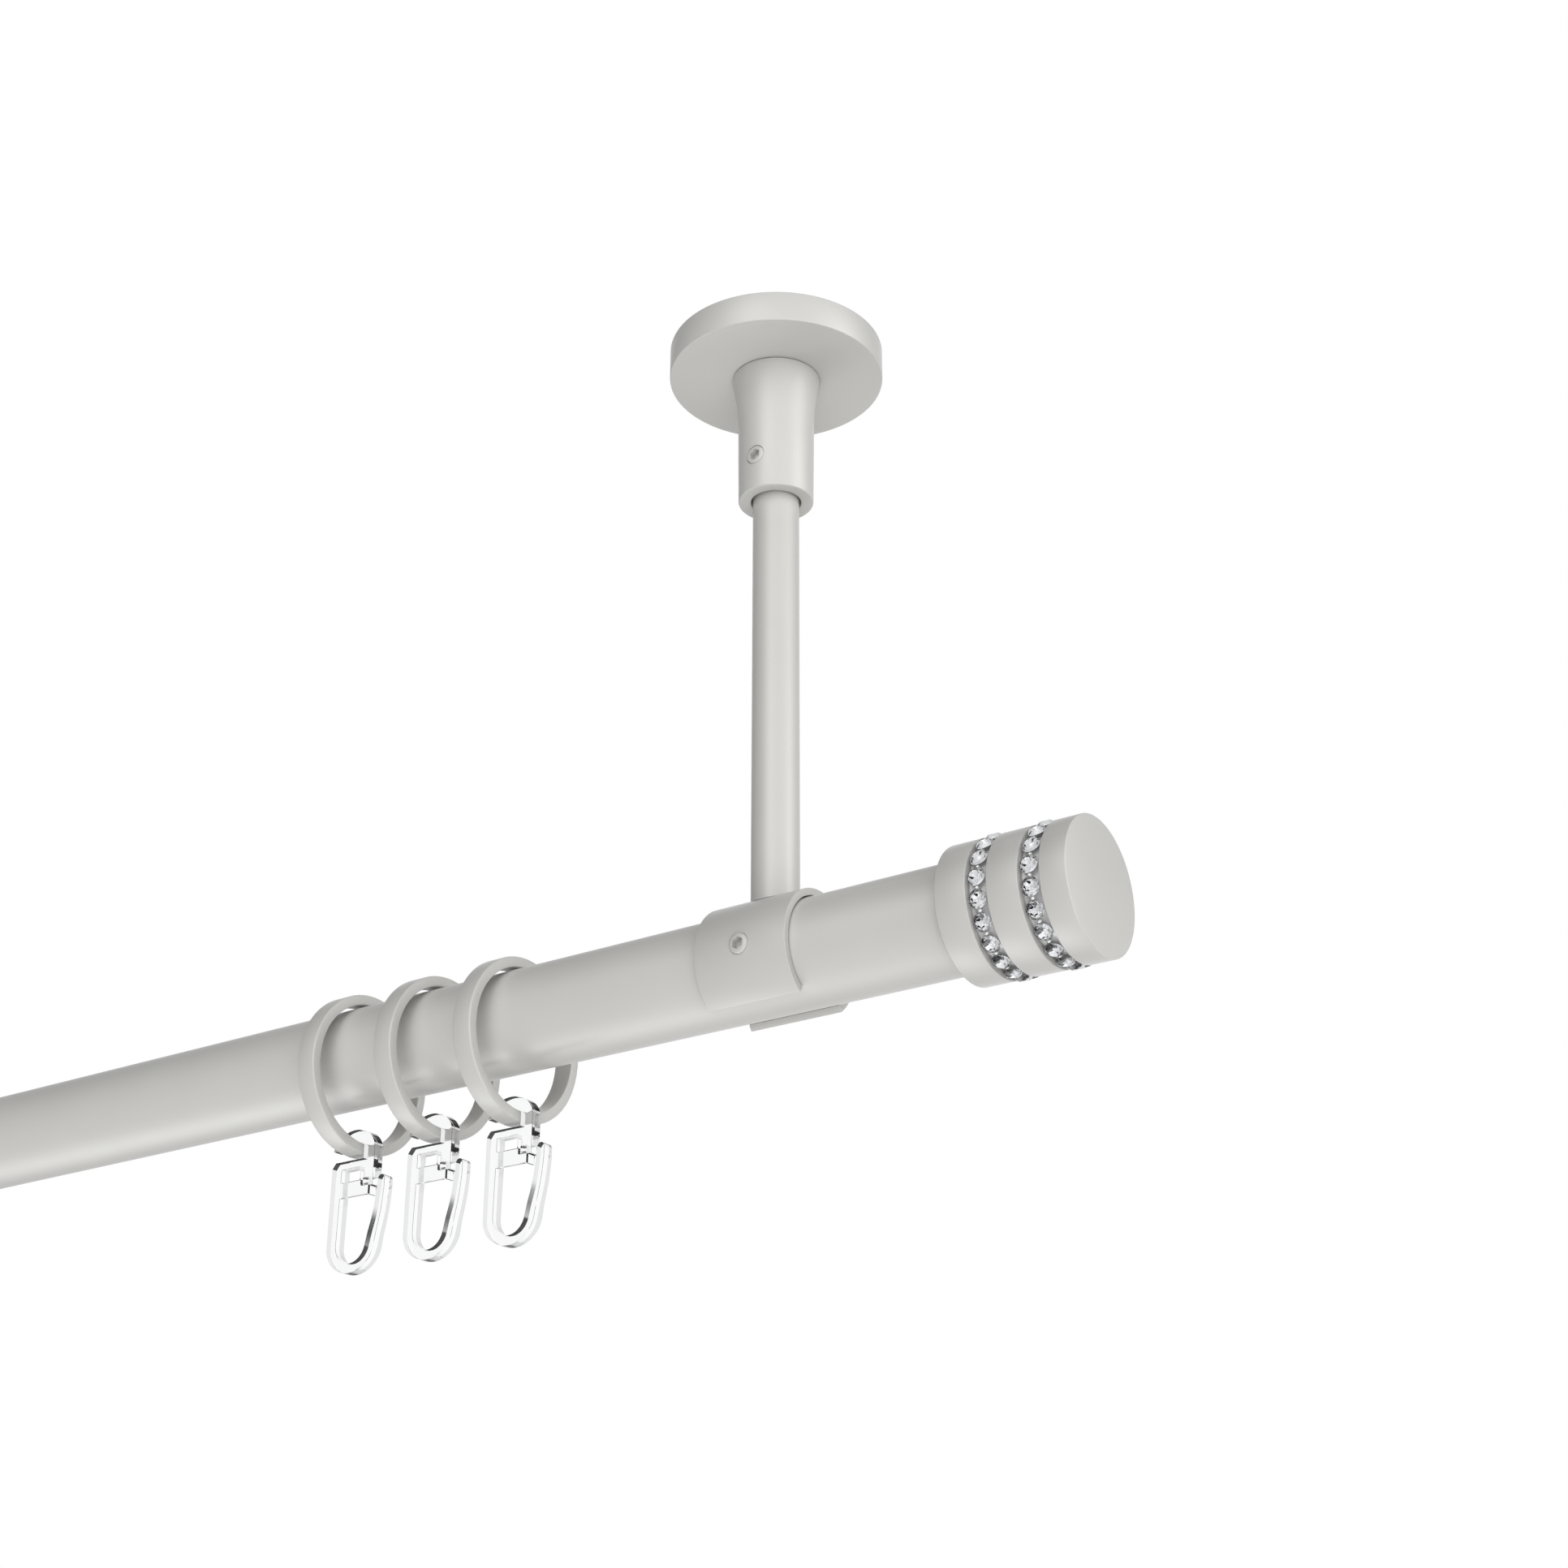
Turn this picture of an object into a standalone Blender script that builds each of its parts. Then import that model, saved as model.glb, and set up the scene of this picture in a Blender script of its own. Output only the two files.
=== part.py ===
"""Ceiling-hung curtain rod: a 20 mm tube on two stem brackets, with capped finials, rings and clear hooks.

Lengths are in metres. X runs along the rod, Z points up. The origin lies on the ceiling plane, midway
between the brackets. Both ends are alike: side -1 is the left end and side +1 is the right end.
"""
import math

import bmesh
import bpy
from mathutils import Matrix

# Fits
GAP = 0.0003            # clearance between neighbouring pieces
FACE_GAP = 0.0001       # clearance between flat faces that are drawn up tight
ROUND = 36              # sides of the large round pieces
MEDIUM_ROUND = 32       # sides of the mounting plate and the stem
SMALL_ROUND = 16        # sides of the screws and bores
COPE_ROUND = 96         # sides of the cutter that shapes the stem's foot
THROUGH_CUT = 0.020     # length of a cutter that goes right through a piece
SINK_OVERLAP = 0.00005  # how far a countersink's cutter stands out of the face
BLIND_END = 0.0009      # space past the end of a screw in a blind hole

# Rod
ROD_RADIUS = 0.010
ROD_WALL = 0.001
ROD_LENGTH = 0.800
AXIS_DROP = 0.1308      # ceiling to rod axis

# Finial: a grooved cap whose spigot plugs into the tube
FINIAL_OFFSET = 0.0408  # bracket axis to the cap's back face
FINIAL_RADIUS = 0.01255
FINIAL_LENGTH = 0.025
BAND = 0.006            # back band and middle band
GROOVE = 0.004
GROOVE_FLOOR = 0.0109
SPIGOT_RADIUS = 0.0084
SPIGOT_LENGTH = 0.016
GRIP_RING_THICKNESS = 0.0013
GRIP_GROOVE_FLOOR = 0.0070
GRIP_RING_PLACES = (0.005, 0.011)  # along the spigot, from the cap's back face
GRIP_RING_SIDES = 8     # corners of a grip ring's own section
EDGE = 0.0003           # small chamfer on turned edges

# Crystal rows
STONES = 19
STONE_PHASE = 7.0       # degrees from straight up to the first stone, towards the room
STONE_BASE_RADIUS = 0.0016
STONE_TABLE_RADIUS = 0.0009
STONE_TABLE_HEIGHT = 0.0128  # finial axis to a stone's table
STONE_SIDES = 6
STRIP_WIDTH = 0.0032
STRIP_THICKNESS = 0.00035

# Bracket
BRACKET_X = ROD_LENGTH / 2 - FINIAL_OFFSET + FACE_GAP
COVER_RADIUS = 0.0214
COVER_HEIGHT = 0.0065
COVER_FLOOR = 0.0022
COVER_BORE = 0.0190
PLATE_RADIUS = 0.0175
PLATE_THICKNESS = COVER_HEIGHT - COVER_FLOOR - GAP
CEILING_SCREW_SPACING = 0.023
CEILING_SCREW_HOLE = 0.00225
CEILING_SCREW_HEAD = 0.0042
STUD_RADIUS = 0.0029
STUD_IN_PLATE = 0.0030
STUD_IN_SOCKET = 0.0078
SOCKET_PROFILE = (      # depth under the ceiling, radius: a flared neck that tapers into a sleeve
    (0.0066, 0.00885), (0.0082, 0.00885), (0.0108, 0.00850), (0.0133, 0.00805),
    (0.0158, 0.00775), (0.0188, 0.00765), (0.0268, 0.00752),
)
SOCKET_END = 0.0350
SOCKET_END_RADIUS = 0.00738
STEM_RADIUS = 0.00455
STEM_BORE = 0.0049
STEM_BORE_TOP = 0.0165
STEM_TOP = 0.0205
SET_SCREW_RADIUS = 0.00195
SET_SCREW_HOLE = 0.00225
HEX_KEY_RADIUS = 0.00115
SOCKET_SCREW_DEPTH = 0.0275
SOCKET_SCREW_FACE = 0.00755
SADDLE_RADIUS = 0.01165
SADDLE_HALF_LENGTH = 0.0098
SADDLE_HALF_ARC = 145.5  # degrees from the top to the end of each arm
SADDLE_STEPS = 44
SADDLE_SCREW_FACE = 0.0121
SADDLE_BOLT_RADIUS = 0.00145
SADDLE_BOLT_LENGTH = 0.0100
SADDLE_BOLT_HEAD = 0.00275
SADDLE_BOLT_HEAD_HEIGHT = 0.0013
SADDLE_BOLT_CUT = (-0.002, 0.006)  # ends of the cutter for the bolt, from the saddle's bore

# Rings and hooks
RING_RADIUS = 0.01635
RING_BORE = 0.01425
RING_WIDTH = 0.0042
RING_PITCH = 0.020
RING_FIRST = 0.0602     # bracket axis to the nearest ring
RINGS_PER_SIDE = 3
RING_DROP = RING_BORE - ROD_RADIUS - GAP
HOOK_THICKNESS = 0.0024
HOOK_STEPS = 14         # segments in each rounded part of a hook's outline


def clear_scene():
    for obj in list(bpy.data.objects):
        bpy.data.objects.remove(obj, do_unlink=True)


def new_collection(name):
    collection = bpy.data.collections.new(name)
    bpy.context.scene.collection.children.link(collection)
    return collection


def finish(name, color, roughness, metallic, alpha=1.0):
    material = bpy.data.materials.new(name)
    material.use_nodes = True
    shader = material.node_tree.nodes["Principled BSDF"]
    shader.inputs["Base Color"].default_value = (*color, 1.0)
    shader.inputs["Roughness"].default_value = roughness
    shader.inputs["Metallic"].default_value = metallic
    shader.inputs["Alpha"].default_value = alpha
    return material


def add_object(name, mesh, material, parent=None, location=(0, 0, 0), rotation=(0, 0, 0)):
    obj = bpy.data.objects.new(name, mesh)
    parts.objects.link(obj)
    if material.name not in mesh.materials:
        mesh.materials.append(material)
    obj.parent = parent
    obj.location = location
    obj.rotation_euler = rotation
    return obj


def smooth(obj, degrees=35):
    """Give a piece smooth sides and crisp corners."""
    obj.data.shade_smooth()
    obj.data.set_sharp_from_angle(angle=math.radians(degrees))


def profile_mesh(name, points, closed):
    """A profile in the XZ plane, given as (radius, height) pairs, ready for a Screw modifier."""
    mesh = bpy.data.meshes.new(name)
    edges = [(i, i + 1) for i in range(len(points) - 1)]
    if closed:
        edges.append((len(points) - 1, 0))
    mesh.from_pydata([(r, 0, z) for r, z in points], edges, [])
    return mesh


def turned(name, points, material, closed=False, steps=ROUND, **place):
    """Turn a profile about Z. It runs down the outer side, so the faces point out."""
    obj = add_object(name, profile_mesh(name, points, closed), material, **place)
    screw = obj.modifiers.new("Turn", "SCREW")
    screw.axis = "Z"
    screw.steps = steps
    screw.render_steps = steps
    screw.use_merge_vertices = True
    screw.merge_threshold = 0.000001
    screw.use_smooth_shade = True
    return obj


def cutter(name, mesh, parent=None, location=(0, 0, 0), rotation=(0, 0, 0)):
    """A tool for a Boolean, kept out of the render."""
    obj = bpy.data.objects.new(name, mesh)
    cutters.objects.link(obj)
    obj.parent = parent
    obj.location = location
    obj.rotation_euler = rotation
    obj.hide_render = True
    obj.display_type = "WIRE"
    return obj


def prism_mesh(name, bottom, top, depth, sides):
    """A cone, cylinder or hexagonal bar centred on Z."""
    mesh = bpy.data.meshes.new(name)
    shape = bmesh.new()
    bmesh.ops.create_cone(
        shape, cap_ends=True, segments=sides, radius1=bottom, radius2=top, depth=depth
    )
    shape.to_mesh(mesh)
    shape.free()
    return mesh


def boolean(obj, tool, operation="DIFFERENCE"):
    """Cut the tool out of a piece, or join it on, as a modifier."""
    modifier = obj.modifiers.new(operation.title(), "BOOLEAN")
    modifier.operation = operation
    modifier.object = tool
    modifier.solver = "EXACT"


def arc(center, radii, start, end, count):
    """Points on an ellipse, from one angle to another in degrees."""
    angles = [math.radians(start + (end - start) * i / count) for i in range(count + 1)]
    return [(center[0] + radii[0] * math.cos(a), center[1] + radii[1] * math.sin(a)) for a in angles]


def plate_mesh(name, outlines, thickness):
    """Flat outlines with holes, extruded to both sides of the XY plane."""
    curve = bpy.data.curves.new(name, "CURVE")
    curve.dimensions = "2D"
    curve.fill_mode = "BOTH"
    curve.extrude = thickness / 2
    for outline in outlines:
        spline = curve.splines.new("POLY")
        spline.points.add(len(outline) - 1)
        for point, (x, y) in zip(spline.points, outline):
            point.co = (x, y, 0, 1)
        spline.use_cyclic_u = True
    guide = bpy.data.objects.new(name + "_outline", curve)
    cutters.objects.link(guide)
    bpy.context.view_layer.update()
    graph = bpy.context.evaluated_depsgraph_get()
    mesh = bpy.data.meshes.new_from_object(guide.evaluated_get(graph))
    mesh.name = name
    bpy.data.objects.remove(guide)
    bpy.data.curves.remove(curve)
    shape = bmesh.new()
    shape.from_mesh(mesh)
    bmesh.ops.remove_doubles(shape, verts=shape.verts, dist=0.000001)
    bmesh.ops.recalc_face_normals(shape, faces=shape.faces)
    shape.to_mesh(mesh)
    shape.free()
    return mesh


def empty(name, location):
    obj = bpy.data.objects.new(name, None)
    parts.objects.link(obj)
    obj.location = location
    return obj


def build_rod():
    outer = ROD_RADIUS
    inner = ROD_RADIUS - ROD_WALL
    half = ROD_LENGTH / 2
    profile = [(outer, half), (outer, -half), (inner, -half), (inner, half)]
    turned(
        "rod_tube", profile, paint, closed=True,
        location=(0, 0, -AXIS_DROP), rotation=(0, math.pi / 2, 0),
    )


def build_mounting_plate(side, bracket):
    """Hidden disc that is screwed to the ceiling and carries the stud in a blind hole."""
    low = -PLATE_THICKNESS
    hole = STUD_RADIUS + GAP
    hole_top = -PLATE_THICKNESS + STUD_IN_PLATE
    profile = [
        (0, 0), (PLATE_RADIUS, 0), (PLATE_RADIUS, low), (hole, low), (hole, hole_top), (0, hole_top),
    ]
    plate = turned(side + "_mounting_plate", profile, steel, steps=MEDIUM_ROUND, parent=bracket)
    for sign in (-1, 1):
        place = (0, sign * CEILING_SCREW_SPACING / 2, low)
        depth = CEILING_SCREW_HEAD - CEILING_SCREW_HOLE
        through = prism_mesh(
            "screw_hole", CEILING_SCREW_HOLE, CEILING_SCREW_HOLE, THROUGH_CUT, SMALL_ROUND
        )
        sink = prism_mesh("countersink", CEILING_SCREW_HEAD, CEILING_SCREW_HOLE, depth, SMALL_ROUND)
        boolean(plate, cutter(side + "_screw_hole", through, bracket, place))
        sink_place = (place[0], place[1], low + depth / 2 - SINK_OVERLAP)
        boolean(plate, cutter(side + "_countersink", sink, bracket, sink_place))


def build_cover(side, bracket):
    """Flat round cup that hides the mounting plate."""
    low = -COVER_HEIGHT
    floor = low + COVER_FLOOR
    hole = STUD_RADIUS + GAP
    profile = [
        (COVER_RADIUS, 0), (COVER_RADIUS, low + EDGE), (COVER_RADIUS - EDGE, low),
        (hole, low), (hole, floor), (COVER_BORE, floor), (COVER_BORE, 0),
    ]
    turned(side + "_ceiling_cover", profile, paint, closed=True, parent=bracket)


def build_stud(side, bracket):
    top = -PLATE_THICKNESS + STUD_IN_PLATE - GAP
    low = -SOCKET_PROFILE[0][0] - STUD_IN_SOCKET
    tip = STUD_RADIUS - EDGE
    profile = [
        (0, top), (tip, top), (STUD_RADIUS, top - EDGE), (STUD_RADIUS, low + EDGE), (tip, low), (0, low),
    ]
    turned(side + "_hanger_stud", profile, steel, steps=SMALL_ROUND, parent=bracket)


def build_socket(side, bracket):
    """Turned sleeve: a flared neck against the cover, and a bore that takes the stem."""
    outline = [(radius, -depth) for depth, radius in SOCKET_PROFILE]
    outline += [(SOCKET_END_RADIUS, -SOCKET_END + EDGE), (SOCKET_END_RADIUS - EDGE, -SOCKET_END)]
    stud_hole = STUD_RADIUS + GAP
    stud_end = -SOCKET_PROFILE[0][0] - STUD_IN_SOCKET - GAP
    profile = outline + [
        (STEM_BORE, -SOCKET_END), (STEM_BORE, -STEM_BORE_TOP), (0, -STEM_BORE_TOP),
    ]
    profile = [(0, stud_end), (stud_hole, stud_end), (stud_hole, outline[0][1])] + profile
    socket = turned(side + "_stem_socket", profile, paint, parent=bracket)
    reach = SOCKET_SCREW_FACE + GAP
    hole = prism_mesh("set_screw_hole", SET_SCREW_HOLE, SET_SCREW_HOLE, reach, SMALL_ROUND)
    place = (0, -reach / 2 - GAP, -SOCKET_SCREW_DEPTH)
    boolean(socket, cutter(side + "_socket_hole", hole, bracket, place, (math.pi / 2, 0, 0)))


def build_set_screw(name, bracket, face, tip, height):
    """Socket-head grub screw along Y; its object stands on the screw's own axis."""
    length = face - tip
    profile = [
        (0, length), (SET_SCREW_RADIUS - EDGE, length), (SET_SCREW_RADIUS, length - EDGE),
        (SET_SCREW_RADIUS, EDGE), (SET_SCREW_RADIUS - EDGE, 0), (0, 0),
    ]
    place = dict(location=(0, -tip, height), rotation=(math.pi / 2, 0, 0))
    screw = turned(name, profile, paint, steps=SMALL_ROUND, parent=bracket, **place)
    key = prism_mesh("hex_key", HEX_KEY_RADIUS, HEX_KEY_RADIUS, length, 6)
    key_place = (0, -tip - length, height)
    boolean(screw, cutter(name + "_key", key, bracket, key_place, (math.pi / 2, 0, 0)))


def build_stem(side, bracket):
    """Round bar, coped at its foot to sit on the saddle, with a tapped hole for the saddle screw."""
    low = -AXIS_DROP + ROD_RADIUS
    hole = SADDLE_BOLT_RADIUS + GAP
    hole_top = -AXIS_DROP + ROD_RADIUS + SADDLE_BOLT_LENGTH + BLIND_END
    tip = STEM_RADIUS - EDGE
    profile = [
        (0, -STEM_TOP), (tip, -STEM_TOP), (STEM_RADIUS, -STEM_TOP - EDGE), (STEM_RADIUS, low),
        (hole, low), (hole, hole_top), (0, hole_top),
    ]
    stem = turned(side + "_stem", profile, paint, steps=MEDIUM_ROUND, parent=bracket)
    cope = SADDLE_RADIUS + FACE_GAP
    saddle_shape = prism_mesh("saddle_shape", cope, cope, THROUGH_CUT, COPE_ROUND)
    place = (0, 0, -AXIS_DROP)
    boolean(stem, cutter(side + "_cope", saddle_shape, bracket, place, (0, math.pi / 2, 0)))


def build_saddle(side, bracket):
    """Open sleeve whose arms wrap past the middle of the rod, with holes for its two screws."""
    first = 90 - SADDLE_HALF_ARC
    last = 90 + SADDLE_HALF_ARC
    bore = ROD_RADIUS + GAP
    outer = arc((0, 0), (SADDLE_RADIUS, SADDLE_RADIUS), first, last, SADDLE_STEPS)
    inner = arc((0, 0), (bore, bore), last, first, SADDLE_STEPS)
    mesh = plate_mesh(side + "_rod_saddle", [outer + inner], 2 * SADDLE_HALF_LENGTH)
    turn = (math.pi / 2, 0, math.pi / 2)
    saddle = add_object(
        side + "_rod_saddle", mesh, paint, parent=bracket, location=(0, 0, -AXIS_DROP), rotation=turn
    )
    smooth(saddle)
    grub = prism_mesh("grub_hole", SET_SCREW_HOLE, SET_SCREW_HOLE, ROD_RADIUS, SMALL_ROUND)
    place = (0, -SADDLE_RADIUS, -AXIS_DROP)
    boolean(saddle, cutter(side + "_grub_hole", grub, bracket, place, (math.pi / 2, 0, 0)))
    wide = SADDLE_BOLT_HEAD + GAP
    narrow = SADDLE_BOLT_RADIUS + GAP
    low, high = SADDLE_BOLT_CUT
    profile = [
        (0, high), (narrow, high), (narrow, SADDLE_BOLT_HEAD_HEIGHT), (wide, 0), (wide, low), (0, low),
    ]
    sink = turned(side + "_bolt_hole", profile, steel, steps=SMALL_ROUND, parent=bracket)
    sink.location = (0, 0, -AXIS_DROP + ROD_RADIUS + GAP)
    parts.objects.unlink(sink)
    cutters.objects.link(sink)
    sink.hide_render = True
    sink.display_type = "WIRE"
    boolean(saddle, sink)


def build_saddle_screw(side, bracket):
    """Countersunk screw from inside the saddle up into the stem."""
    top = SADDLE_BOLT_LENGTH
    tip = SADDLE_BOLT_RADIUS - EDGE
    profile = [
        (0, top), (tip, top), (SADDLE_BOLT_RADIUS, top - EDGE),
        (SADDLE_BOLT_RADIUS, SADDLE_BOLT_HEAD_HEIGHT), (SADDLE_BOLT_HEAD, 0), (0, 0),
    ]
    place = (0, 0, -AXIS_DROP + ROD_RADIUS + GAP)
    turned(side + "_saddle_screw", profile, steel, steps=SMALL_ROUND, parent=bracket, location=place)


def build_bracket(side, x):
    bracket = empty(side + "_bracket", (x, 0, 0))
    build_mounting_plate(side, bracket)
    build_cover(side, bracket)
    build_stud(side, bracket)
    build_socket(side, bracket)
    build_stem(side, bracket)
    build_saddle(side, bracket)
    build_saddle_screw(side, bracket)
    build_set_screw(
        side + "_socket_set_screw", bracket, SOCKET_SCREW_FACE, STEM_RADIUS + GAP, -SOCKET_SCREW_DEPTH
    )
    build_set_screw(
        side + "_saddle_set_screw", bracket, SADDLE_SCREW_FACE, ROD_RADIUS + GAP, -AXIS_DROP
    )


def groove_points(start):
    """Four corners of a crystal groove that starts at this height, going down the profile."""
    end = start - GROOVE
    return [(FINIAL_RADIUS, start), (GROOVE_FLOOR, start), (GROOVE_FLOOR, end), (FINIAL_RADIUS, end)]


def build_finial_body(side, finial):
    """Cap with two grooves and a spigot. Height 0 is the cap's back face."""
    profile = [
        (0, FINIAL_LENGTH), (FINIAL_RADIUS - EDGE, FINIAL_LENGTH), (FINIAL_RADIUS, FINIAL_LENGTH - EDGE),
    ]
    profile += groove_points(2 * BAND + 2 * GROOVE)
    profile += groove_points(BAND + GROOVE)
    profile += [(FINIAL_RADIUS, EDGE), (FINIAL_RADIUS - EDGE, 0), (SPIGOT_RADIUS, 0)]
    half = GRIP_RING_THICKNESS / 2 + GAP
    for place in GRIP_RING_PLACES:
        profile += [
            (SPIGOT_RADIUS, -place + half), (GRIP_GROOVE_FLOOR, -place + half),
            (GRIP_GROOVE_FLOOR, -place - half), (SPIGOT_RADIUS, -place - half),
        ]
    end = -SPIGOT_LENGTH
    profile += [(SPIGOT_RADIUS, end + EDGE), (SPIGOT_RADIUS - EDGE, end), (0, end)]
    turned(side + "_finial_body", profile, paint, parent=finial)


def build_crystal_row(name, finial, center, clockwise):
    """Cup strip with one row of cut stones, joined into one band."""
    inner = GROOVE_FLOOR + GAP
    outer = inner + STRIP_THICKNESS
    half = STRIP_WIDTH / 2
    strip = [(outer, center + half), (outer, center - half), (inner, center - half), (inner, center + half)]
    row = turned(name, strip, crystal, closed=True, steps=2 * STONES, parent=finial)
    base = inner + STRIP_THICKNESS / 3
    shape = bmesh.new()
    for index in range(STONES):
        angle = math.radians(STONE_PHASE + 360 * index / STONES)
        turn = math.pi + clockwise * angle
        depth = STONE_TABLE_HEIGHT - base
        made = bmesh.ops.create_cone(
            shape, cap_ends=True, segments=STONE_SIDES,
            radius1=STONE_BASE_RADIUS, radius2=STONE_TABLE_RADIUS, depth=depth,
        )
        bmesh.ops.translate(shape, verts=made["verts"], vec=(0, 0, base + depth / 2))
        bmesh.ops.rotate(shape, verts=made["verts"], matrix=Matrix.Rotation(math.pi / 2, 3, "Y"))
        bmesh.ops.rotate(shape, verts=made["verts"], matrix=Matrix.Rotation(turn, 3, "Z"))
        bmesh.ops.translate(shape, verts=made["verts"], vec=(0, 0, center))
    mesh = bpy.data.meshes.new(name + "_stones")
    shape.to_mesh(mesh)
    shape.free()
    boolean(row, cutter(name + "_stones", mesh, finial), "UNION")


def build_grip_ring(name, finial, place):
    """Rubber ring that holds the spigot in the tube."""
    radius = GRIP_RING_THICKNESS / 2
    middle = GRIP_GROOVE_FLOOR + GAP + radius
    first = 360 / GRIP_RING_SIDES
    circle = arc((middle, -place), (radius, radius), 360, first, GRIP_RING_SIDES - 1)
    turned(name, circle, rubber, closed=True, steps=SMALL_ROUND, parent=finial)


def build_finial(side, sign):
    finial = empty(side + "_finial", (sign * (BRACKET_X + FINIAL_OFFSET), 0, -AXIS_DROP))
    finial.rotation_euler = (0, sign * math.pi / 2, 0)
    build_finial_body(side, finial)
    build_crystal_row(side + "_crystal_row_inner", finial, BAND + GROOVE / 2, sign)
    build_crystal_row(side + "_crystal_row_outer", finial, 2 * BAND + 1.5 * GROOVE, sign)
    for label, place in zip(("inner", "outer"), GRIP_RING_PLACES):
        build_grip_ring(side + "_grip_ring_" + label, finial, place)


def build_ring(name, x):
    half = RING_WIDTH / 2
    outer = RING_RADIUS
    inner = RING_BORE
    profile = [
        (outer - EDGE, half), (outer, half - EDGE), (outer, EDGE - half), (outer - EDGE, -half),
        (inner, -half), (inner, half),
    ]
    turned(
        name, profile, paint, closed=True,
        location=(x, 0, -AXIS_DROP - RING_DROP), rotation=(0, math.pi / 2, 0),
    )


def hook_outlines():
    """Outlines of the clear hook in the XZ plane, from the ring's centre: its edge and its window.

    The eye is an open snap: its free end stops above the frame, and the ring passes through the gap.
    """
    eye_side = 0.0028
    eye_top = -RING_BORE + GAP
    snap_end = -0.0150
    bar_top = -0.0174
    corner = (-0.0045, -0.0185)
    left = -0.0054
    right = 0.0057
    shoulder = -0.0157
    latch_end = -0.0231
    bar_low = -0.0190
    cross_top = -0.0217
    cross_low = -0.0248
    bend = (0.0009, -0.0343)
    edge = arc(((left + right) / 2, shoulder), ((right - left) / 2, 0.0044), 0, 171, HOOK_STEPS)
    edge += [(-eye_side, snap_end), (-eye_side, eye_top), (eye_side, eye_top), (eye_side, bar_top)]
    edge += [(corner[0], bar_top), (left, corner[1])]
    edge += arc(bend, (0.0063, 0.0057), 180, 355, HOOK_STEPS)
    edge += [(0.0083, -0.0287), (0.0089, -0.0240)]
    edge += [(0.0088, -0.0220), (0.0081, -0.0214), (0.0073, -0.0220), (0.0070, -0.0240), (0.0062, -0.0290)]
    edge += arc(bend, (0.0039, 0.0038), 355, 180, HOOK_STEPS)
    edge += [(-0.0028, cross_low), (0.0049, cross_low), (0.0049, latch_end), (right, latch_end)]
    window = [(-0.0027, bar_low), (0.0027, bar_low), (0.0027, cross_top), (-0.0027, cross_top)]
    return [edge, window]


def build_rings_and_hooks():
    hook_mesh = plate_mesh("clear_hook", hook_outlines(), HOOK_THICKNESS)
    for side, sign in (("left", -1), ("right", 1)):
        for index in range(RINGS_PER_SIDE):
            x = sign * (BRACKET_X - RING_FIRST - index * RING_PITCH)
            number = str(index + 1)
            build_ring(side + "_ring_" + number, x)
            hook = add_object(
                side + "_hook_" + number, hook_mesh, clear_plastic,
                location=(x, 0, -AXIS_DROP - RING_DROP), rotation=(math.pi / 2, 0, 0),
            )
            smooth(hook)


clear_scene()
parts = new_collection("curtain_rod_with_brackets")
cutters = new_collection("cutters")
paint = finish("satin_paint", (0.62, 0.62, 0.58), 0.38, 0.0)
steel = finish("zinc_plated_steel", (0.55, 0.56, 0.58), 0.40, 1.0)
rubber = finish("black_rubber", (0.03, 0.03, 0.03), 0.80, 0.0)
crystal = finish("cut_crystal", (0.90, 0.92, 0.93), 0.05, 0.0, 0.6)
clear_plastic = finish("clear_plastic", (0.93, 0.95, 0.95), 0.08, 0.0, 0.4)

build_rod()
for side_name, side_sign in (("left", -1), ("right", 1)):
    build_bracket(side_name, side_sign * BRACKET_X)
    build_finial(side_name, side_sign)
build_rings_and_hooks()
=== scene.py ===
# %% [markdown]
# # A curtain rod hung from the ceiling
#
# The rod is a 20 mm steel tube. Two brackets carry it: each is a flat cover on the ceiling, a flared
# socket, a round stem and an open saddle that holds the tube. The ends wear caps with two rows of cut
# stones, and rings with clear hooks run along the tube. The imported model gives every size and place, so
# this script starts from it and builds the pieces that show in finer detail around it.

import math

import bpy
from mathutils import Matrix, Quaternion, Vector


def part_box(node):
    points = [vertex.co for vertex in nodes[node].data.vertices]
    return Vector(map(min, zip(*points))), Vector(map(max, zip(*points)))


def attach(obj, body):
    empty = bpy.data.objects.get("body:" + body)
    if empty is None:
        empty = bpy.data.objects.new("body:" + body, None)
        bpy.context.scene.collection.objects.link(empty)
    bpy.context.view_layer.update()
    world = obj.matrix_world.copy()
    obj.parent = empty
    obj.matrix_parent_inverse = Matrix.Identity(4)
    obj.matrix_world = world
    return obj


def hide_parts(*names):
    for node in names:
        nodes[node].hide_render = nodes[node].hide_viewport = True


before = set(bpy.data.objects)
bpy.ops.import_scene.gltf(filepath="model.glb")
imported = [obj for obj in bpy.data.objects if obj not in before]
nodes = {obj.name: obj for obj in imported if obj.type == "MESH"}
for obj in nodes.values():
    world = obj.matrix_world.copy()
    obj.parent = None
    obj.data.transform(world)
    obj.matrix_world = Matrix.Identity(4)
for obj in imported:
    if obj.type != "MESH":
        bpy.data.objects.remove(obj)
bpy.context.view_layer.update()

# %% [markdown]
# ## Sizes
#
# A node's box gives its centre and its half sizes. Everything that repeats is measured once on the right
# end, and the left end is a copy.

# %% Read the driving sizes from the frame
MM = 0.001
STRIP_START = 6.4 * MM   # from the cap's back face to the inner strip of stones


def middle(name):
    low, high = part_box(name)
    return (low + high) / 2


def half(name):
    low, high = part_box(name)
    return (high - low) / 2


rod_axis = middle("rod_tube").z
rod_radius = half("rod_tube").z
rod_half = half("rod_tube").x
bracket_x = middle("right_stem").x
finial_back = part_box("right_crystal_row_inner")[0].x - STRIP_START
print("rod radius %.1f mm, bracket at %.1f mm" % (rod_radius / MM, bracket_x / MM))

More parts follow.
